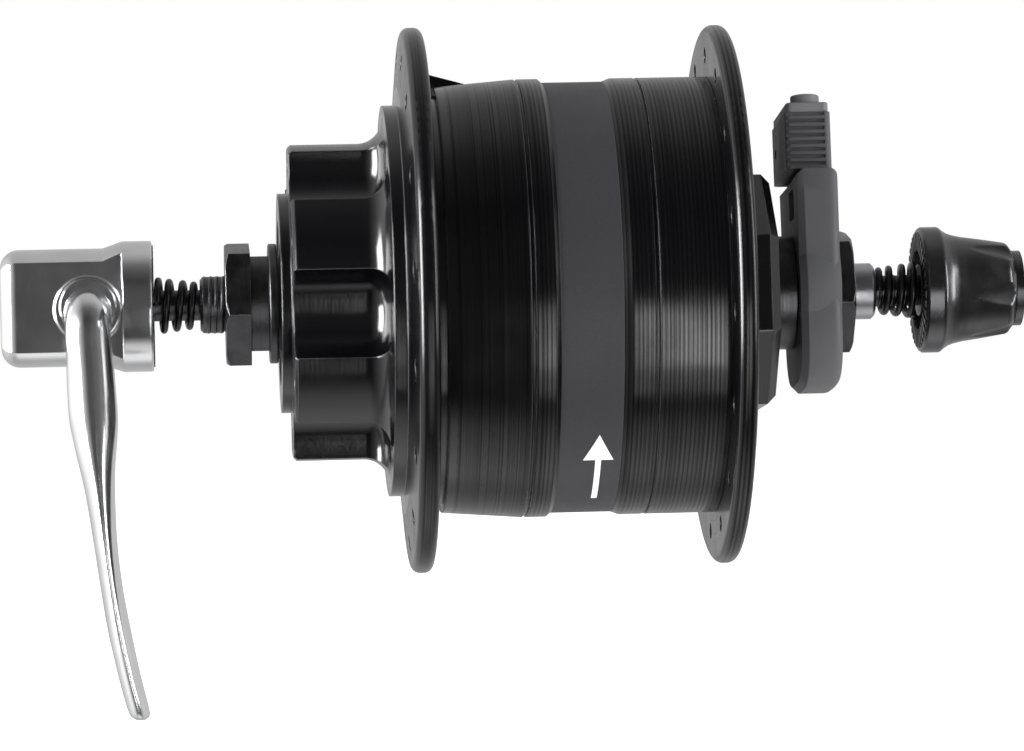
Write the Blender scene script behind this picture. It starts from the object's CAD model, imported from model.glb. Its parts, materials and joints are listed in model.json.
"""Hub dynamo: materials, small detail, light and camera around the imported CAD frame, in metres."""

import json
from math import atan2, cos, radians, sin, sqrt, tau

import bmesh
import bpy
from mathutils import Matrix, Vector


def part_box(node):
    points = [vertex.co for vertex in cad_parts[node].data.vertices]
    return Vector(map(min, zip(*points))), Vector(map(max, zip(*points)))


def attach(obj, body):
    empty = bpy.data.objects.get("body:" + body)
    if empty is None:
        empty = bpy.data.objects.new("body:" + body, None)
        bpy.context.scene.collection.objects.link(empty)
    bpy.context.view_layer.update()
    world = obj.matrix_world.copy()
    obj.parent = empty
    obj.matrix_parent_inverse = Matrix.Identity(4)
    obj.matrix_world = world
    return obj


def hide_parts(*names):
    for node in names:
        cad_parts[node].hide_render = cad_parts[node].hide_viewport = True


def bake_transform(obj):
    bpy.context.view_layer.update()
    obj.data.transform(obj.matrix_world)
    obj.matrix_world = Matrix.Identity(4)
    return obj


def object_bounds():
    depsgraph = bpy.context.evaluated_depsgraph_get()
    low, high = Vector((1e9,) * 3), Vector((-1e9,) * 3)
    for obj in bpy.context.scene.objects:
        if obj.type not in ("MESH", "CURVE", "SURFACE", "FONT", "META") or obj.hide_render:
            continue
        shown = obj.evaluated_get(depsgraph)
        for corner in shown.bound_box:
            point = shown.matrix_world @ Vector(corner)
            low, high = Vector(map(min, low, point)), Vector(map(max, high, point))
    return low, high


MM = 0.001

# Camera: where it looks, from where, and its lens
VIEW_TARGET = Vector((0.0, 4.45, -12.3)) * MM
VIEW_AZIMUTH = 266.0
VIEW_ELEVATION = 0.0
VIEW_DISTANCE = 0.785
VIEW_ROLL = -1.27
LENS = 172.5
SENSOR = 36.0

# Studio: light from all round on matte surfaces, and the floor's own glow
MATTE_LIGHT = 0.45
FLOOR_GLOW = 0.75

# Softboxes: name, azimuth, elevation, distance, width, height, power in watts
SOFTBOXES = [
    ("front_low", 279, -21, 0.9, 0.12, 0.50, 0.74),
    ("front_wide", 279, -28, 1.0, 0.14, 0.90, 0.75),
    ("left_side", 200, 8, 1.1, 0.5, 0.9, 34.0),
    ("right_side", 338, 10, 1.1, 0.3, 0.9, 6.0),
]

# The studio in reflections: how bright it is along each axis, from direction -1 to 1
GLOW_ALONG_X = [(-1.0, 0.08), (-0.7, 0.03), (-0.2, 0.05), (0.3, 0.40), (1.0, 0.55)]
GLOW_ALONG_Y = [(-1.0, 0.30), (-0.6, 0.10), (-0.1, 0.0), (0.3, 0.0), (0.65, 0.40), (1.0, 1.0)]
GLOW_ALONG_Z = [
    (-1.0, 0.75),
    (-0.95, 0.60),
    (-0.9, 0.22),
    (-0.83, 0.0),
    (0.7, 0.0),
    (0.9, 0.04),
    (1.0, 0.12),
]

# Floor under the lever's tip
FLOOR_DROP = 0.006
FLOOR_SIZE = 6.0
FLOOR_PATCH = 0.4

# Springs: wire, turns, the radii at their small and big ends, and how much closer the ends are wound
SPRING_WIRE_R = 0.55 * MM
SPRING_WIRE_SIDES = 14
SPRING_SMALL_R = 3.2 * MM
SPRING_BIG_R = 4.1 * MM
SPRING_TURNS = 3.5
SPRING_STEPS_PER_TURN = 40
SPRING_END_EASE = 0.8

# Threads that show on the axle's left end and on the rod
THREAD_PITCH = 1.0 * MM
THREAD_STEPS_PER_TURN = 48
THREAD_ROOT_HALF = 0.42 * THREAD_PITCH
THREAD_TOP_HALF = 0.08 * THREAD_PITCH
THREAD_ROOT_DEPTH = 0.05 * MM
THREAD_FADE_SHARE = 1 / 12
THREAD_END = 0.5 * MM
AXLE_THREAD_R = 4.5 * MM
AXLE_THREAD_CREST = 0.08 * MM
ROD_THREAD_R = 2.45 * MM
ROD_THREAD_CREST = 0.12 * MM
ROD_THREAD_IN_AXLE = 2.0 * MM

# Lever: its bend out of the housing, then its arm from the pivot down to the tip
LEVER_REACH = 11.4 * MM
LEVER_BEND_R = 4.2 * MM
LEVER_BEND_STEPS = 10
LEVER_ROOT_R = 3.64 * MM
LEVER_DROP = 0.8 * MM
LEVER_JOURNAL_R = 4.4 * MM
LEVER_FAR_R = 2.9 * MM
CAM_PIN_R = 3.6 * MM
CAM_PIN_HALF = 2.7 * MM
CAM_THROW = 0.65 * MM
LEVER_RING_POINTS = 40
LEVER_STEPS_BETWEEN = 6
LEVER_SHARP_ANGLE = 60.0
LEVER_STATIONS = [
    # mm: height under the pivot, sweep to the hub, half thickness, half width, pull to the front
    (5.0, 0.00, 3.64, 3.64, 0.0),
    (8.4, 0.18, 3.68, 3.80, -0.1),
    (13.1, 0.37, 3.82, 4.15, -0.2),
    (17.6, 0.58, 3.82, 4.50, -0.2),
    (20.6, 0.74, 3.50, 4.75, -0.1),
    (24.9, 0.98, 2.88, 5.10, 0.15),
    (29.6, 1.38, 2.33, 5.50, 0.5),
    (36.7, 1.96, 1.90, 6.10, 1.1),
    (43.8, 2.75, 1.77, 6.45, 1.8),
    (50.9, 3.85, 1.84, 6.45, 2.3),
    (58.0, 5.25, 1.80, 6.00, 2.7),
    (62.4, 6.30, 1.78, 5.40, 2.9),
    (64.4, 6.80, 1.60, 4.60, 3.0),
    (65.1, 6.95, 0.90, 3.20, 3.0),
]

# Adjusting nut: its outline from the face on the fork to the tail, and its six scooped flutes
NUT_OUTLINE = [
    # mm: distance from the face, radius
    (0.0, 9.45),
    (0.15, 9.85),
    (0.5, 10.1),
    (3.0, 10.1),
    (3.3, 9.98),
    (3.8, 9.55),
    (4.5, 9.10),
    (5.4, 8.75),
    (7.0, 8.40),
    (10.0, 7.98),
    (13.9, 7.36),
    (14.3, 7.15),
    (15.2, 5.9),
    (16.1, 4.6),
    (16.4, 3.9),
]
NUT_FLUTES = 6
NUT_FLUTE_TURN = 38.0
NUT_FLUTE_START = 4.0 * MM
NUT_FLUTE_CENTRE_R = 10.4 * MM
NUT_CUTTER_START_R = 1.05 * MM
NUT_CUTTER_END_R = 4.5 * MM
NUT_BORE_GAP = 0.3 * MM
NUT_SIDES = 288
NUT_RINGS_PER_MM = 3
NUT_SHARP_ANGLE = 35.0

# Terminal: a block with flat front and rear, a rounded foot and a crowned boss round the axle
TERMINAL_LEAN = 7.0
TERMINAL_HALF_DEPTH = 11.5 * MM
TERMINAL_TOP = 18.4 * MM
TERMINAL_FOOT = 16.0 * MM
TERMINAL_FOOT_POWER = 3.6
TERMINAL_BORE_R = 5.05 * MM
TERMINAL_BEVEL = 1.1 * MM
TERMINAL_ROUND = 1.5 * MM
TERMINAL_ROUND_STEPS = 4
TERMINAL_BOSS_R = 12.4 * MM
TERMINAL_BOSS_DROP = 1.0 * MM
TERMINAL_CROWN_STEPS = 8
TERMINAL_SIDES = 180
TERMINAL_SHARP_ANGLE = 30.0
ALMOST_NOTHING = 1e-6

# The boss stands this much further along the axle than the block, so that no faces coincide
BOSS_STEP = 0.03 * MM

# Latch slot in the terminal's hub side: its place, and its size front to rear, across and upright
SLOT_FROM_FRONT = 3.5 * MM
SLOT_HEIGHT = 13.4 * MM
SLOT_SIZE = (6.0 * MM, 2.4 * MM, 5.4 * MM)

# Barrel: its turned marks and its printed band
BARREL_HALF = 31.0 * MM
MARK_PITCH = 0.70 * MM
MARKS_LEFT_Y = 4.0 * MM
BAND_R = 34.4 * MM
BAND_MARGIN = 0.3 * MM
BAND_LEFT_Y = -1.0 * MM
BAND_RIGHT_Y = -10.7 * MM

# Printed arrow: turns in degrees under the front of the barrel
ARROW_Y = -7.1 * MM
ARROW_TIP_TURN = 39.3
ARROW_NECK_TURN = 48.4
ARROW_TAIL_TURN = 67.7
ARROW_HEAD_WIDTH = 4.8 * MM
ARROW_SHAFT_WIDTH = 0.9 * MM
ARROW_LIFT = 0.02 * MM
ARROW_STEPS = 24

# Finishes: colours, and how much darker their dark patches are
DARKER_METAL = 0.72
DARKER_MOULDING = 0.82
COPPER_WAVES_PER_MM = 0.55
COAT_BLACK = (0.0015, 0.0015, 0.002)
WORN_COAT = (0.24, 0.24, 0.26)
PRINT_DARK = (0.022, 0.021, 0.025)
PRINT_LIGHT = (0.030, 0.029, 0.034)
ALLOY_DARK = (0.74, 0.74, 0.75)
ALLOY_LIGHT = (0.84, 0.84, 0.85)
BLACKENED_DARK = (0.055, 0.055, 0.058)
BLACKENED_LIGHT = (0.12, 0.12, 0.125)
BARE_STEEL = (0.46, 0.46, 0.48)
RUBBED_STEEL = (0.42, 0.42, 0.43)
COPPER_DARK = (0.42, 0.13, 0.04)
COPPER_LIGHT = (0.60, 0.22, 0.08)
INK_WORN = (0.55, 0.55, 0.56)
INK_FULL = (0.86, 0.86, 0.86)
FLOOR_DARK = (0.92, 0.92, 0.92)
FLOOR_LIGHT = (0.95, 0.95, 0.95)
WHITE = (1.0, 1.0, 1.0)

# Metals: colour, roughness, size of their lines and depth of their lines
METALS = {
    "bearing_steel": ((0.62, 0.62, 0.63), 0.14, 0.3 * MM, 0.002 * MM),
    "black_spring": ((0.07, 0.07, 0.075), 0.32, 0.4 * MM, 0.006 * MM),
    "dark_anodised": ((0.14, 0.14, 0.145), 0.26, 0.35 * MM, 0.003 * MM),
    "brass_contact": ((0.72, 0.52, 0.22), 0.24, 0.3 * MM, 0.002 * MM),
    "magnet_coat": ((0.42, 0.42, 0.44), 0.36, 0.5 * MM, 0.003 * MM),
    "soft_iron": ((0.34, 0.33, 0.32), 0.46, 0.4 * MM, 0.010 * MM),
}

# Plastics and rubber: colour, roughness, size of their grain and depth of their grain
MOULDINGS = {
    "terminal_plastic": ((0.100, 0.100, 0.106), 0.52, 0.22 * MM, 0.010 * MM),
    "cap_plastic": ((0.20, 0.20, 0.21), 0.50, 0.22 * MM, 0.010 * MM),
    "bobbin_plastic": ((0.55, 0.53, 0.47), 0.42, 0.4 * MM, 0.006 * MM),
    "black_rubber": ((0.012, 0.012, 0.013), 0.62, 0.5 * MM, 0.008 * MM),
    "lead_sheath": ((0.02, 0.02, 0.022), 0.45, 0.6 * MM, 0.005 * MM),
}


def back_of(azimuth, elevation):
    """Direction from the object to a viewer at that azimuth and elevation."""
    turn, rise = radians(azimuth), radians(elevation)
    return Vector((sin(turn) * cos(rise), -cos(turn) * cos(rise), sin(rise)))


# Materials

class Surface:
    """A material on one Principled shader, whose nodes are added one by one."""

    def __init__(self, name, colour, roughness, metallic=0.0, specular=0.5):
        self.material = bpy.data.materials.new(name)
        self.material.use_nodes = True
        self.tree = self.material.node_tree
        self.shader = self.tree.nodes["Principled BSDF"]
        self.set("Base Color", (*colour, 1.0))
        self.set("Roughness", roughness)
        self.set("Metallic", metallic)
        self.set("Specular IOR Level", specular)
        self.place = self.add("ShaderNodeTexCoord").outputs["Object"]

    def add(self, kind, **settings):
        node = self.tree.nodes.new(kind)
        for key, value in settings.items():
            setattr(node, key, value)
        return node

    def feed(self, target, source):
        """Links a socket to target, or sets target to a plain value."""
        if isinstance(source, bpy.types.NodeSocket):
            self.tree.links.new(source, target)
        else:
            target.default_value = source

    def set(self, name, source):
        self.feed(self.shader.inputs[name], source)

    def math(self, operation, first, second=0.0):
        node = self.add("ShaderNodeMath", operation=operation)
        self.feed(node.inputs[0], first)
        self.feed(node.inputs[1], second)
        return node.outputs[0]

    def plus(self, first, second):
        return self.math("ADD", first, second)

    def minus(self, first, second):
        return self.math("SUBTRACT", first, second)

    def times(self, first, second):
        return self.math("MULTIPLY", first, second)

    def under(self, value, limit):
        """1 where value is under limit, and 0 elsewhere."""
        return self.math("LESS_THAN", value, limit)

    def axis(self, name, place=None):
        """One coordinate of a place, or of the place on the piece."""
        node = self.add("ShaderNodeSeparateXYZ")
        self.feed(node.inputs[0], place or self.place)
        return node.outputs[name]

    def scaled(self, place, factors):
        node = self.add("ShaderNodeVectorMath", operation="MULTIPLY")
        self.feed(node.inputs[0], place)
        node.inputs[1].default_value = factors
        return node.outputs[0]

    def turned_place(self):
        """Radius and height on the axle's line, for marks left by a lathe."""
        length = self.add("ShaderNodeVectorMath", operation="LENGTH")
        self.feed(length.inputs[0], self.scaled(self.place, (1.0, 0.0, 1.0)))
        joined = self.add("ShaderNodeCombineXYZ")
        self.feed(joined.inputs["X"], length.outputs["Value"])
        self.feed(joined.inputs["Y"], self.axis("Y"))
        return joined.outputs[0]

    def noise(self, size, detail=2.0, place=None, stretch=None):
        """Noise with features about size metres across, longer along the axes with a small stretch."""
        place = place or self.place
        if stretch:
            place = self.scaled(place, stretch)
        node = self.add("ShaderNodeTexNoise")
        self.feed(node.inputs["Vector"], place)
        node.inputs["Scale"].default_value = 1.0 / size
        node.inputs["Detail"].default_value = detail
        return node.outputs["Fac"]

    def spread(self, value, low, high, start=0.3, end=0.7):
        """Maps value from start..end to low..high."""
        node = self.add("ShaderNodeMapRange")
        self.feed(node.inputs["Value"], value)
        node.inputs["From Min"].default_value = start
        node.inputs["From Max"].default_value = end
        node.inputs["To Min"].default_value = low
        node.inputs["To Max"].default_value = high
        return node.outputs["Result"]

    def mix(self, share, first, second):
        """A colour between first and second, each a socket or three numbers."""
        node = self.add("ShaderNodeMix", data_type="RGBA")
        self.feed(node.inputs["Factor"], share)
        for name, colour in (("A", first), ("B", second)):
            opaque = (*colour, 1.0) if isinstance(colour, tuple) else colour
            self.feed(colour_socket(node, name), opaque)
        return colour_output(node)

    def tones(self, value, first, second):
        """A colour that wanders between first and second with a noise."""
        return self.mix(self.spread(value, 0.0, 1.0), first, second)

    def bump(self, height, depth, under=None):
        """A normal with that relief, depth metres deep, over another normal."""
        node = self.add("ShaderNodeBump")
        self.feed(node.inputs["Height"], height)
        node.inputs["Distance"].default_value = depth
        if under is not None:
            self.feed(node.inputs["Normal"], under)
        return node.outputs["Normal"]

    def soft_edges(self, radius):
        """A normal that rounds the edges by radius."""
        node = self.add("ShaderNodeBevel", samples=4)
        node.inputs["Radius"].default_value = radius
        return node.outputs["Normal"]

    def edge_share(self, radius):
        """0 on faces, up to 1 on edges, where a coating wears."""
        geometry = self.add("ShaderNodeNewGeometry")
        dot = self.add("ShaderNodeVectorMath", operation="DOT_PRODUCT")
        self.feed(dot.inputs[0], self.soft_edges(radius))
        self.feed(dot.inputs[1], geometry.outputs["Normal"])
        return self.spread(dot.outputs["Value"], 1.0, 0.0, start=0.80, end=0.98)


def colour_socket(node, name):
    """A Mix node has a socket of this name for each kind of data: this is the colour's."""
    return next(s for s in node.inputs if s.name == name and s.type == "RGBA")


def colour_output(node):
    return next(s for s in node.outputs if s.type == "RGBA")


def gloss_black():
    """Black gloss coat over turned alloy, with the matte printed band on the barrel."""
    s = Surface("gloss_black", COAT_BLACK, roughness=0.16)
    turned = s.turned_place()
    along = s.axis("Y")
    lines = s.noise(0.42 * MM, detail=3.0, place=turned)
    smears = s.noise(9 * MM, detail=4.0)

    # Where the barrel and its band are, as 0 or 1
    outside = s.math("GREATER_THAN", s.axis("X", turned), BAND_R - BAND_MARGIN)
    barrel = s.times(outside, s.under(s.math("ABSOLUTE", along), BARREL_HALF))
    from_middle = s.math("ABSOLUTE", s.minus(along, (BAND_LEFT_Y + BAND_RIGHT_Y) / 2))
    band = s.times(outside, s.under(from_middle, (BAND_LEFT_Y - BAND_RIGHT_Y) / 2))
    unprinted = s.minus(barrel, band)

    worn = s.times(s.edge_share(0.22 * MM), s.spread(smears, 0.15, 0.6))
    coat = s.mix(worn, COAT_BLACK, WORN_COAT)
    ink = s.tones(s.noise(0.3 * MM, detail=3.0), PRINT_DARK, PRINT_LIGHT)
    s.set("Base Color", s.mix(band, coat, ink))

    plain = s.plus(s.spread(smears, 0.11, 0.20), s.spread(lines, -0.02, 0.04))
    dull = s.plus(s.times(band, 0.28), s.times(barrel, 0.06))
    s.set("Roughness", s.plus(plain, dull))

    # Even lathe marks right of the barrel's waist, less even ones all over it
    even_marks = s.math("SINE", s.times(along, tau / MARK_PITCH))
    even_marks = s.times(even_marks, s.under(along, MARKS_LEFT_Y))
    marks = s.plus(s.times(even_marks, 0.15), s.noise(0.26 * MM, place=turned))
    marked_loss = s.times(unprinted, s.spread(marks, 0.56, 0.10, start=0.32, end=0.66))
    s.set("Specular IOR Level", s.minus(0.75, s.plus(marked_loss, s.times(band, 0.15))))
    s.set("Normal", s.bump(lines, 0.006 * MM, s.soft_edges(0.45 * MM)))
    return s.material


def polished_alloy():
    """Polished and satin alloy of the housing and lever, with faint handling marks."""
    s = Surface("polished_alloy", ALLOY_LIGHT, roughness=0.16, metallic=1.0)
    marks = s.noise(7 * MM, detail=5.0)
    grain = s.noise(0.25 * MM, detail=3.0, stretch=(1.0, 1.0, 0.12))
    s.set("Base Color", s.tones(marks, ALLOY_DARK, ALLOY_LIGHT))
    s.set("Roughness", s.plus(s.spread(marks, 0.12, 0.20), s.spread(grain, -0.02, 0.03)))
    s.set("Normal", s.bump(grain, 0.0015 * MM, s.soft_edges(0.3 * MM)))
    return s.material


def dark_steel(name="dark_steel", bare_under_y=None):
    """Blackened steel of the nuts, cones and axle, rubbed on its edges, and bare under some y."""
    s = Surface(name, BLACKENED_LIGHT, roughness=0.34, metallic=1.0)
    lines = s.noise(0.30 * MM, detail=3.0, place=s.turned_place())
    stain = s.noise(4 * MM, detail=5.0)
    body = s.tones(stain, BLACKENED_DARK, BLACKENED_LIGHT)
    if bare_under_y is not None:
        body = s.mix(s.under(s.axis("Y"), bare_under_y), body, BARE_STEEL)
    worn = s.times(s.edge_share(0.25 * MM), s.spread(stain, 0.4, 1.0))
    s.set("Base Color", s.mix(worn, body, RUBBED_STEEL))
    s.set("Roughness", s.plus(s.spread(stain, 0.26, 0.42), s.spread(lines, -0.04, 0.05)))
    s.set("Normal", s.bump(lines, 0.012 * MM, s.soft_edges(0.25 * MM)))
    return s.material


def plain_metal(name, colour, roughness, line_size, line_depth):
    """A metal with lathe or rolling marks and patchy gloss."""
    s = Surface(name, colour, roughness, metallic=1.0)
    lines = s.noise(line_size, detail=3.0, place=s.turned_place())
    patches = s.noise(5 * MM, detail=4.0)
    darker = tuple(DARKER_METAL * c for c in colour)
    s.set("Base Color", s.tones(patches, darker, colour))
    s.set("Roughness", s.spread(patches, roughness - 0.06, roughness + 0.08))
    s.set("Normal", s.bump(lines, line_depth, s.soft_edges(0.15 * MM)))
    return s.material


def moulded(name, colour, roughness, grain_size, grain_depth):
    """Moulded plastic or rubber with a fine spark-eroded grain and slight flow marks."""
    s = Surface(name, colour, roughness)
    grain = s.noise(grain_size, detail=4.0)
    flow = s.noise(6 * MM, detail=3.0, stretch=(1.0, 1.0, 0.4))
    darker = tuple(DARKER_MOULDING * c for c in colour)
    s.set("Base Color", s.tones(flow, darker, colour))
    grained = s.spread(grain, roughness - 0.06, roughness + 0.06)
    s.set("Roughness", s.plus(s.spread(flow, -0.05, 0.05), grained))
    s.set("Normal", s.bump(grain, grain_depth, s.soft_edges(0.25 * MM)))
    return s.material


def wound_copper():
    """Enamelled copper wire laid in turns round the bobbin."""
    s = Surface("copper", COPPER_LIGHT, roughness=0.28, metallic=1.0)
    wires = s.add("ShaderNodeTexWave", wave_type="BANDS", bands_direction="DIAGONAL")
    s.feed(wires.inputs["Vector"], s.turned_place())
    wires.inputs["Scale"].default_value = COPPER_WAVES_PER_MM / MM
    patches = s.noise(3 * MM, detail=3.0)
    s.set("Base Color", s.tones(patches, COPPER_DARK, COPPER_LIGHT))
    s.set("Roughness", s.spread(patches, 0.22, 0.38))
    s.set("Normal", s.bump(wires.outputs["Fac"], 0.12 * MM))
    return s.material


def white_print():
    """Screen-printed ink, a little worn."""
    s = Surface("white_print", INK_FULL, roughness=0.45)
    speckle = s.noise(0.25 * MM, detail=3.0)
    s.set("Base Color", s.mix(s.spread(speckle, 0.0, 1.0, start=0.2, end=0.5), INK_WORN, INK_FULL))
    s.set("Roughness", s.spread(speckle, 0.38, 0.55))
    s.set("Normal", s.bump(speckle, 0.004 * MM))
    return s.material


def pale_floor():
    """A pale floor that glows a little, so that it shows no horizon."""
    s = Surface("pale_floor", FLOOR_LIGHT, roughness=0.9, specular=0.0)
    s.set("Base Color", s.tones(s.noise(FLOOR_PATCH, detail=3.0), FLOOR_DARK, FLOOR_LIGHT))
    s.set("Emission Color", (*WHITE, 1.0))
    s.set("Emission Strength", FLOOR_GLOW)
    return s.material


# Geometry helpers

def face_outwards(mesh):
    shape = bmesh.new()
    shape.from_mesh(mesh)
    bmesh.ops.recalc_face_normals(shape, faces=shape.faces)
    shape.to_mesh(mesh)
    shape.free()


def mesh_piece(name, points, faces, material, body=None, smooth=True):
    """A new piece."""
    mesh = bpy.data.meshes.new(name)
    mesh.from_pydata([tuple(p) for p in points], [], faces)
    mesh.validate()
    face_outwards(mesh)
    if smooth:
        mesh.shade_smooth()
    mesh.materials.append(material)
    piece = bpy.data.objects.new(name, mesh)
    bpy.context.scene.collection.objects.link(piece)
    if body:
        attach(piece, body)
    return piece


def sharpen(piece, angle):
    """Keeps the edges sharp where two faces meet at more than angle degrees."""
    piece.data.set_sharp_from_angle(angle=radians(angle))


def circle_turns(count):
    return [tau * k / count for k in range(count)]


def faces_between(start, end, count):
    """Faces between two rings of count points, each given by the index of its first point."""
    faces = []
    for k in range(count):
        after = (k + 1) % count
        faces.append((start + k, start + after, end + after, end + k))
    return faces


def ringed(rings, bored=False):
    """Points and faces of a closed skin over rings that have the same number of points.
    Where it is bored, the last ring is joined to the first, and otherwise each end is one face."""
    count = len(rings[0])
    points = [point for ring in rings for point in ring]
    last = len(points) - count
    faces = [] if bored else [tuple(reversed(range(count)))]
    for row in range(len(rings) - 1):
        faces += faces_between(row * count, (row + 1) * count, count)
    if bored:
        faces += faces_between(last, 0, count)
    else:
        faces.append(tuple(range(last, len(points))))
    return points, faces


def swept(line, outline):
    """Points and faces of an outline carried along a line round the axle.
    line: (turn in radians, radius, y) at each step; outline: (outward, along y) offsets in order."""
    rings = []
    for turn, radius, y in line:
        outward = Vector((cos(turn), 0.0, sin(turn)))
        rings.append([outward * (radius + out) + Vector((0.0, y + along, 0.0)) for out, along in outline])
    return ringed(rings)


def curve_between(before, start, end, after, share):
    """A number on the smooth curve from start to end, given the numbers before and after them."""
    slope = end - before
    square = 2 * before - 5 * start + 4 * end - after
    cube = 3 * start - before - 3 * end + after
    return 0.5 * (2 * start + slope * share + square * share**2 + cube * share**3)


def smooth_between(stations, steps):
    """Rows of numbers on a smooth curve through the stations, steps from each to the next."""
    rows = []
    last = len(stations) - 1
    for i in range(last):
        before, after = stations[max(i - 1, 0)], stations[min(i + 2, last)]
        columns = list(zip(before, stations[i], stations[i + 1], after))
        for step in range(steps):
            rows.append(tuple(curve_between(*column, step / steps) for column in columns))
    return [*rows, stations[last]]


# Pieces

def spring_piece(name, node, small_end_low, material):
    """A conical spring in the place of its CAD node, wound a little closer at its ends."""
    low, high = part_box(node)
    start_y = low.y + SPRING_WIRE_R
    rise = high.y - low.y - 2 * SPRING_WIRE_R
    steps = round(SPRING_TURNS * SPRING_STEPS_PER_TURN)
    line = []
    for step in range(steps + 1):
        share = step / steps
        eased = share - SPRING_END_EASE / (tau * SPRING_TURNS) * sin(tau * share)
        grown = share if small_end_low else 1.0 - share
        radius = SPRING_SMALL_R + (SPRING_BIG_R - SPRING_SMALL_R) * grown
        line.append((tau * SPRING_TURNS * share, radius, start_y + rise * eased))
    wire = [(SPRING_WIRE_R * cos(a), SPRING_WIRE_R * sin(a)) for a in circle_turns(SPRING_WIRE_SIDES)]
    points, faces = swept(line, wire)
    piece = mesh_piece(name, points, faces, material)
    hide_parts(node)
    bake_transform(piece)


def thread_piece(name, low_y, high_y, radius, crest, body, material):
    """The crest of a screw thread between two heights on the axle's line."""
    turns = (high_y - low_y) / THREAD_PITCH
    steps = round(turns * THREAD_STEPS_PER_TURN)
    line = []
    for step in range(steps + 1):
        share = step / steps
        fade = min(1.0, share / THREAD_FADE_SHARE, (1.0 - share) / THREAD_FADE_SHARE)
        faded_r = radius - crest * (1.0 - fade)
        line.append((tau * turns * share, faded_r, low_y + (high_y - low_y) * share))
    outline = [
        (-THREAD_ROOT_DEPTH, -THREAD_ROOT_HALF),
        (crest, -THREAD_TOP_HALF),
        (crest, THREAD_TOP_HALF),
        (-THREAD_ROOT_DEPTH, THREAD_ROOT_HALF),
    ]
    points, faces = swept(line, outline)
    mesh_piece(name, points, faces, material, body, smooth=False)


def arrow_piece(material):
    """The plain printed arrow that shows which way the wheel turns."""
    radius = BAND_R + ARROW_LIFT

    def on_barrel(turn, across):
        angle = radians(turn)
        return Vector((-radius * cos(angle), ARROW_Y + across, -radius * sin(angle)))

    points = []
    for step in range(ARROW_STEPS + 1):
        turn = ARROW_TIP_TURN + (ARROW_NECK_TURN - ARROW_TIP_TURN) * step / ARROW_STEPS
        half = ARROW_HEAD_WIDTH / 2 * step / ARROW_STEPS
        points += [on_barrel(turn, -half), on_barrel(turn, half)]
    first_shaft = len(points)
    for step in range(ARROW_STEPS + 1):
        turn = ARROW_NECK_TURN + (ARROW_TAIL_TURN - ARROW_NECK_TURN) * step / ARROW_STEPS
        half = ARROW_SHAFT_WIDTH / 2
        points += [on_barrel(turn, -half), on_barrel(turn, half)]
    rows = [*range(0, first_shaft - 2, 2), *range(first_shaft, len(points) - 2, 2)]
    faces = [(first, first + 1, first + 3, first + 2) for first in rows]
    mesh_piece("direction_arrow", points, faces, material, "hub")


def lever_piece(material):
    """The lever: cam shaft, bend and an arm that thins into a blade, in the place of its CAD node."""
    nut_low, nut_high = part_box("lever_nut")
    pivot = Vector((0.0, (nut_low.y + nut_high.y) / 2, (nut_low.z + nut_high.z) / 2))
    far_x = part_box("qr_lever")[1].x
    neck_x = LEVER_REACH - LEVER_BEND_R
    turns = circle_turns(LEVER_RING_POINTS)

    def shaft_ring(x, radius, throw=0.0):
        return [pivot + Vector((x, throw + radius * cos(a), radius * sin(a))) for a in turns]

    def bend_ring(bend):
        outward = Vector((-sin(bend), 0.0, cos(bend)))
        centre = pivot - Vector((neck_x, 0.0, LEVER_DROP + LEVER_BEND_R)) + outward * LEVER_BEND_R
        return [
            centre + outward * (LEVER_ROOT_R * sin(a)) + Vector((0.0, LEVER_ROOT_R * cos(a), 0.0))
            for a in turns
        ]

    rings = [
        shaft_ring(far_x, LEVER_FAR_R),
        shaft_ring(CAM_PIN_HALF, LEVER_FAR_R),
        shaft_ring(CAM_PIN_HALF, CAM_PIN_R, CAM_THROW),
        shaft_ring(-CAM_PIN_HALF, CAM_PIN_R, CAM_THROW),
        shaft_ring(-CAM_PIN_HALF, LEVER_JOURNAL_R),
        shaft_ring(-neck_x, LEVER_JOURNAL_R),
    ]
    quarter = radians(90.0)
    rings += [bend_ring(quarter * step / LEVER_BEND_STEPS) for step in range(LEVER_BEND_STEPS + 1)]
    for row in smooth_between(LEVER_STATIONS, LEVER_STEPS_BETWEEN):
        down, sweep, half_thick, half_wide, pull = (value * MM for value in row)
        if down > LEVER_DROP + LEVER_BEND_R:
            centre = pivot + Vector((pull - LEVER_REACH, -sweep, -down))
            rings.append([
                centre + Vector((-half_wide * sin(a), half_thick * cos(a), 0.0)) for a in turns
            ])
    points, faces = ringed(rings)
    piece = mesh_piece("lever_arm", points, faces, material, "lever")
    sharpen(piece, LEVER_SHARP_ANGLE)
    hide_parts("qr_lever")


def nut_rows():
    """Distance from the face and radius of each ring down the nut's outline, in metres."""
    rows = []
    for (start, start_r), (end, end_r) in zip(NUT_OUTLINE, NUT_OUTLINE[1:]):
        steps = max(1, round((end - start) * NUT_RINGS_PER_MM))
        for step in range(steps):
            share = step / steps
            rows.append((start + (end - start) * share, start_r + (end_r - start_r) * share))
    rows.append(NUT_OUTLINE[-1])
    return [(MM * deep, MM * radius) for deep, radius in rows]


def fluted_r(turn, deep, radius, length):
    """The nut's radius at a turn in degrees, less where a flute's round scoop cuts in."""
    if deep <= NUT_FLUTE_START:
        return radius
    share = (deep - NUT_FLUTE_START) / (length - NUT_FLUTE_START)
    cutter_r = NUT_CUTTER_START_R + (NUT_CUTTER_END_R - NUT_CUTTER_START_R) * share
    pitch = 360.0 / NUT_FLUTES
    off = radians((turn - NUT_FLUTE_TURN + pitch / 2) % pitch - pitch / 2)
    aside = NUT_FLUTE_CENTRE_R * sin(abs(off))
    if aside >= cutter_r:
        return radius
    return min(radius, NUT_FLUTE_CENTRE_R * cos(off) - sqrt(cutter_r**2 - aside**2))


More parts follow.
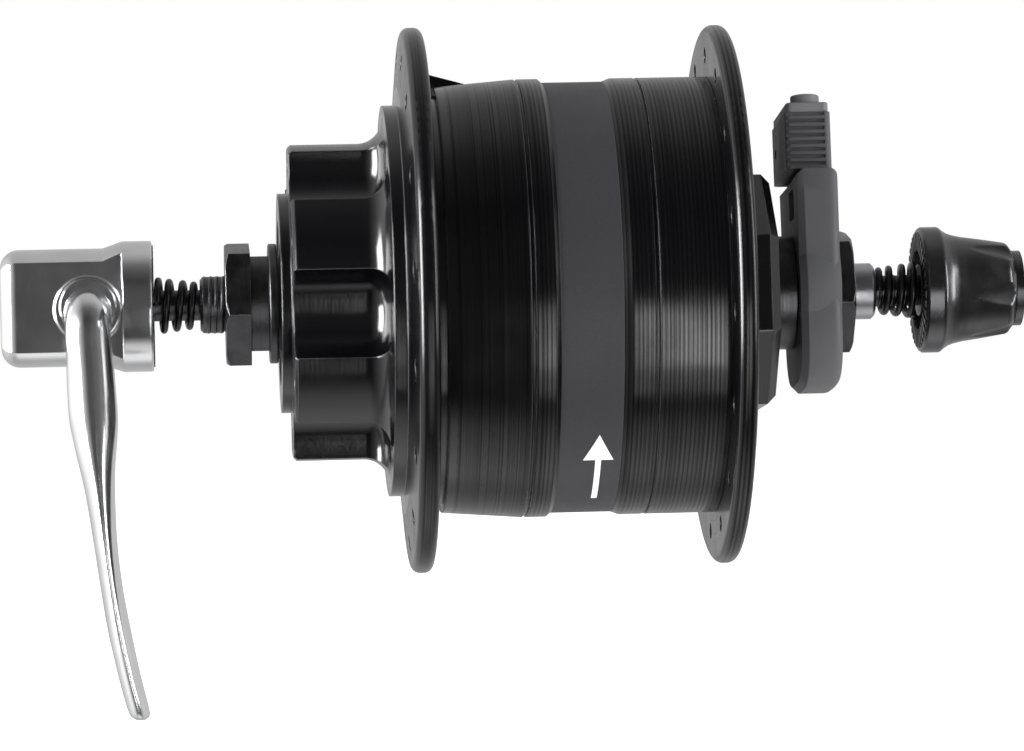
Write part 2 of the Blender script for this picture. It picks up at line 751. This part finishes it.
def nut_piece(material):
    """The adjusting nut with its flare and scooped flutes, in the place of its CAD node."""
    face_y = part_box("adjusting_nut")[1].y
    seat_low, seat_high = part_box("nut_bite_ring")
    seat_r = (seat_high.z - seat_low.z) / 2
    seat_deep = face_y - seat_low.y
    insert_low, insert_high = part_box("nut_insert")
    insert_r = (insert_high.z - insert_low.z) / 2
    insert_deep = face_y - insert_low.y
    bore_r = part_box("skewer_rod")[1].z + NUT_BORE_GAP
    turns = [360.0 * k / NUT_SIDES for k in range(NUT_SIDES)]

    def ring(deep, radii):
        return [
            Vector((-radius * sin(radians(turn)), face_y - deep, radius * cos(radians(turn))))
            for turn, radius in zip(turns, radii)
        ]

    rows = nut_rows()
    length = rows[-1][0]
    inside = [
        (length, bore_r),
        (insert_deep, bore_r),
        (insert_deep, insert_r),
        (seat_deep, insert_r),
        (seat_deep, seat_r),
        (0.0, seat_r),
    ]
    rings = [ring(deep, [fluted_r(turn, deep, r, length) for turn in turns]) for deep, r in rows]
    rings += [ring(deep, [radius] * NUT_SIDES) for deep, radius in inside]
    points, faces = ringed(rings, bored=True)
    piece = mesh_piece("nut_shell", points, faces, material, "adjuster")
    sharpen(piece, NUT_SHARP_ANGLE)
    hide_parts("adjusting_nut")


def terminal_r(turn):
    """How far the terminal's block reaches from the axle at a turn up from its front."""
    level, rise = abs(cos(turn)), sin(turn)
    if rise >= 0:
        to_front = TERMINAL_HALF_DEPTH / max(level, ALMOST_NOTHING)
        to_top = TERMINAL_TOP / max(rise, ALMOST_NOTHING)
        return min(to_front, to_top)
    power = TERMINAL_FOOT_POWER
    return ((level / TERMINAL_HALF_DEPTH)**power + (-rise / TERMINAL_FOOT)**power) ** (-1 / power)


def terminal_turns():
    """Turns round the terminal, with one exactly at each upper corner."""
    turns = circle_turns(TERMINAL_SIDES)
    corner = atan2(TERMINAL_TOP, TERMINAL_HALF_DEPTH)
    for exact in (corner, tau / 2 - corner):
        nearest = min(range(TERMINAL_SIDES), key=lambda k: abs(turns[k] - exact))
        turns[nearest] = exact
    return turns


def terminal_pieces(material):
    """The terminal's block and its crowned boss, in the place of their CAD node."""
    low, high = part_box("terminal_body")
    lean = radians(TERMINAL_LEAN)
    up = Vector((sin(lean), 0.0, cos(lean)))
    front = Vector((-cos(lean), 0.0, sin(lean)))
    turns = terminal_turns()
    block_radii = [terminal_r(turn) for turn in turns]

    def ring(y, radii):
        return [
            front * (radius * cos(turn)) + up * (radius * sin(turn)) + Vector((0.0, y, 0.0))
            for turn, radius in zip(turns, radii)
        ]

    def block_ring(y, inset):
        return ring(y, [radius - inset for radius in block_radii])

    def round_ring(y, radius):
        return ring(y, [radius] * TERMINAL_SIDES)

    rings = [round_ring(low.y, TERMINAL_BORE_R)]
    for step in range(TERMINAL_ROUND_STEPS + 1):
        bend = radians(90.0) * step / TERMINAL_ROUND_STEPS
        rounded_y = low.y + TERMINAL_ROUND * (1.0 - cos(bend))
        rings.append(block_ring(rounded_y, TERMINAL_ROUND * (1.0 - sin(bend))))
    rings.append(block_ring(high.y - TERMINAL_BEVEL, 0.0))
    rings.append(block_ring(high.y, TERMINAL_BEVEL))
    rings.append(round_ring(high.y, TERMINAL_BORE_R))
    points, faces = ringed(rings, bored=True)
    block = mesh_piece("terminal_block", points, faces, material, "axle_unit")
    slot_middle = front * SLOT_FROM_FRONT + up * SLOT_HEIGHT + Vector((0.0, high.y, 0.0))
    cut_slot(block, slot_middle, front, up)
    sharpen(block, TERMINAL_SHARP_ANGLE)
    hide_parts("terminal_body")

    boss_low, boss_high = low.y + BOSS_STEP, high.y + BOSS_STEP
    crown_length = boss_high - TERMINAL_BEVEL - boss_low
    rings = [round_ring(boss_low, TERMINAL_BORE_R)]
    for step in range(TERMINAL_CROWN_STEPS + 1):
        share = step / TERMINAL_CROWN_STEPS
        crown_r = TERMINAL_BOSS_R - TERMINAL_BOSS_DROP * (1.0 - share) ** 2
        rings.append(round_ring(boss_low + crown_length * share, crown_r))
    rings.append(round_ring(boss_high, TERMINAL_BOSS_R - TERMINAL_BEVEL))
    rings.append(round_ring(boss_high, TERMINAL_BORE_R))
    points, faces = ringed(rings, bored=True)
    boss = mesh_piece("terminal_boss", points, faces, material, "axle_unit")
    sharpen(boss, TERMINAL_SHARP_ANGLE)
    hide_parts("terminal_body")


def cut_slot(piece, middle, front, up):
    """Cuts the latch slot round its middle, with its sides along front, the axle and up."""
    along_front, across, along_up = (value / 2 for value in SLOT_SIZE)
    corners = [
        middle + front * (along_front * a) + Vector((0.0, across * b, 0.0)) + up * (along_up * c)
        for a in (-1, 1) for b in (-1, 1) for c in (-1, 1)
    ]
    faces = [(0, 1, 3, 2), (4, 6, 7, 5), (0, 4, 5, 1), (2, 3, 7, 6), (0, 2, 6, 4), (1, 5, 7, 3)]
    mesh = bpy.data.meshes.new("slot_cutter")
    mesh.from_pydata([tuple(c) for c in corners], [], faces)
    face_outwards(mesh)
    cutter = bpy.data.objects.new("slot_cutter", mesh)
    bpy.context.scene.collection.objects.link(cutter)
    cut = piece.modifiers.new("slot", "BOOLEAN")
    cut.object = cutter
    cut.operation = "DIFFERENCE"
    bpy.context.view_layer.update()
    shape = piece.evaluated_get(bpy.context.evaluated_depsgraph_get())
    finished = bpy.data.meshes.new_from_object(shape)
    piece.modifiers.remove(cut)
    piece.data = finished
    bpy.data.objects.remove(cutter)


# Frame

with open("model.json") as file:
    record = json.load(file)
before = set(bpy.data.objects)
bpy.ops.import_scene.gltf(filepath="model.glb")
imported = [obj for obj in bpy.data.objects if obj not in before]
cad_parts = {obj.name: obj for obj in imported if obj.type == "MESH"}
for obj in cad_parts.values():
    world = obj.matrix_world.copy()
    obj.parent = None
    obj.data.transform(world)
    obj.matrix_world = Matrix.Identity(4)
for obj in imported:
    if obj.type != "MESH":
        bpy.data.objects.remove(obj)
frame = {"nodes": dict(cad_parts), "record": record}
cad_low, cad_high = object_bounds()
nodes = frame["nodes"]

slots = {
    "gloss_black": gloss_black(),
    "polished_alloy": polished_alloy(),
    "dark_steel": dark_steel(),
    "copper": wound_copper(),
}
for slot, finish in METALS.items():
    slots[slot] = plain_metal(slot, *finish)
for slot, finish in MOULDINGS.items():
    slots[slot] = moulded(slot, *finish)

node_slots = {part["node"]: part["material_slot"] for part in frame["record"]["subparts"]}

# The insert's plating is dark where it shows inside the adjusting nut
node_slots["nut_insert"] = "dark_steel"
for name, node in nodes.items():
    if not node.material_slots:
        node.data.materials.append(None)
    for material_slot in node.material_slots:
        material_slot.material = slots[node_slots[name]]

# The axle is bare right of its locknut
nodes["axle"].material_slots[0].material = dark_steel("axle_steel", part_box("right_locknut")[0].y)

# New pieces
steel, spring_steel = slots["dark_steel"], slots["black_spring"]
spring_piece("left_spring_coil", "left_spring", True, spring_steel)
spring_piece("right_spring_coil", "right_spring", False, spring_steel)
axle_low, axle_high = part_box("axle")
thread_piece(
    "left_axle_thread",
    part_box("left_locknut")[1].y,
    axle_high.y - THREAD_END,
    AXLE_THREAD_R,
    AXLE_THREAD_CREST,
    "axle_unit",
    steel,
)
thread_piece(
    "rod_thread",
    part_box("skewer_rod")[0].y + THREAD_END,
    axle_low.y + ROD_THREAD_IN_AXLE,
    ROD_THREAD_R,
    ROD_THREAD_CREST,
    "skewer",
    steel,
)
arrow_piece(white_print())
lever_piece(slots["polished_alloy"])
nut_piece(slots["dark_anodised"])
terminal_pieces(slots["terminal_plastic"])

# Floor
bpy.ops.mesh.primitive_plane_add(size=FLOOR_SIZE, location=(0, 0, cad_low.z - FLOOR_DROP))
floor = bpy.context.object
floor.name = "floor"
floor.data.materials.append(pale_floor())
floor.visible_glossy = False


# Light

def softbox(name, azimuth, elevation, distance, width, height, power):
    light = bpy.data.lights.new(name, "AREA")
    light.shape = "RECTANGLE"
    light.size = width
    light.size_y = height
    light.energy = power
    box = bpy.data.objects.new(name, light)
    back = back_of(azimuth, elevation)
    box.location = VIEW_TARGET + back * distance
    box.rotation_euler = back.to_track_quat("Z", "Y").to_euler()
    box.visible_camera = False
    bpy.context.scene.collection.objects.link(box)


def studio_world():
    """White for the camera, dimmer for matte surfaces, and a grey studio in reflections."""
    world = bpy.data.worlds.new("studio")
    bpy.context.scene.world = world
    world.use_nodes = True
    tree = world.node_tree
    tree.nodes.clear()
    output = tree.nodes.new("ShaderNodeOutputWorld")
    path = tree.nodes.new("ShaderNodeLightPath")
    direction = tree.nodes.new("ShaderNodeTexCoord")
    split = tree.nodes.new("ShaderNodeSeparateXYZ")
    tree.links.new(direction.outputs["Generated"], split.inputs[0])

    def glow(axis, stops):
        """Grey that goes through the stops, each a coordinate of the direction and a brightness."""
        node = tree.nodes.new("ShaderNodeValToRGB")
        spread = tree.nodes.new("ShaderNodeMapRange")
        spread.inputs["From Min"].default_value = -1.0
        tree.links.new(split.outputs[axis], spread.inputs["Value"])
        tree.links.new(spread.outputs["Result"], node.inputs["Fac"])
        elements = node.color_ramp.elements
        while len(elements) < len(stops):
            elements.new(0.5)
        for element, (coordinate, level) in zip(elements, stops):
            element.position = (coordinate + 1.0) / 2
            element.color = (level, level, level, 1.0)
        return node.outputs["Color"]

    def added(first, second):
        total = tree.nodes.new("ShaderNodeMix")
        total.data_type = "RGBA"
        total.blend_type = "ADD"
        total.inputs["Factor"].default_value = 1.0
        tree.links.new(first, colour_socket(total, "A"))
        tree.links.new(second, colour_socket(total, "B"))
        return colour_output(total)

    def background(level):
        node = tree.nodes.new("ShaderNodeBackground")
        node.inputs["Color"].default_value = (level, level, level, 1.0)
        return node

    def chosen(ray, other, own):
        """The background own for that kind of ray, and other for the rest."""
        node = tree.nodes.new("ShaderNodeMixShader")
        tree.links.new(path.outputs[ray], node.inputs["Fac"])
        tree.links.new(other.outputs[0], node.inputs[1])
        tree.links.new(own.outputs[0], node.inputs[2])
        return node

    studio = tree.nodes.new("ShaderNodeBackground")
    across_and_along = added(glow("Y", GLOW_ALONG_Y), glow("X", GLOW_ALONG_X))
    tree.links.new(added(across_and_along, glow("Z", GLOW_ALONG_Z)), studio.inputs["Color"])
    matte = chosen("Is Diffuse Ray", background(1.0), background(MATTE_LIGHT))
    every_ray = chosen("Is Glossy Ray", matte, studio)
    tree.links.new(every_ray.outputs[0], output.inputs["Surface"])


for settings in SOFTBOXES:
    softbox(*settings)
studio_world()
bpy.context.scene.view_settings.view_transform = "Standard"

# Camera
camera_data = bpy.data.cameras.new("camera")
camera_data.sensor_width = SENSOR
camera_data.lens = LENS
camera = bpy.data.objects.new("camera", camera_data)
bpy.context.scene.collection.objects.link(camera)
view_back = back_of(VIEW_AZIMUTH, VIEW_ELEVATION)
camera.location = VIEW_TARGET + view_back * VIEW_DISTANCE
look = view_back.to_track_quat("Z", "Y").to_matrix()
camera.rotation_euler = (look @ Matrix.Rotation(radians(VIEW_ROLL), 3, "Z")).to_euler()
bpy.context.scene.camera = camera
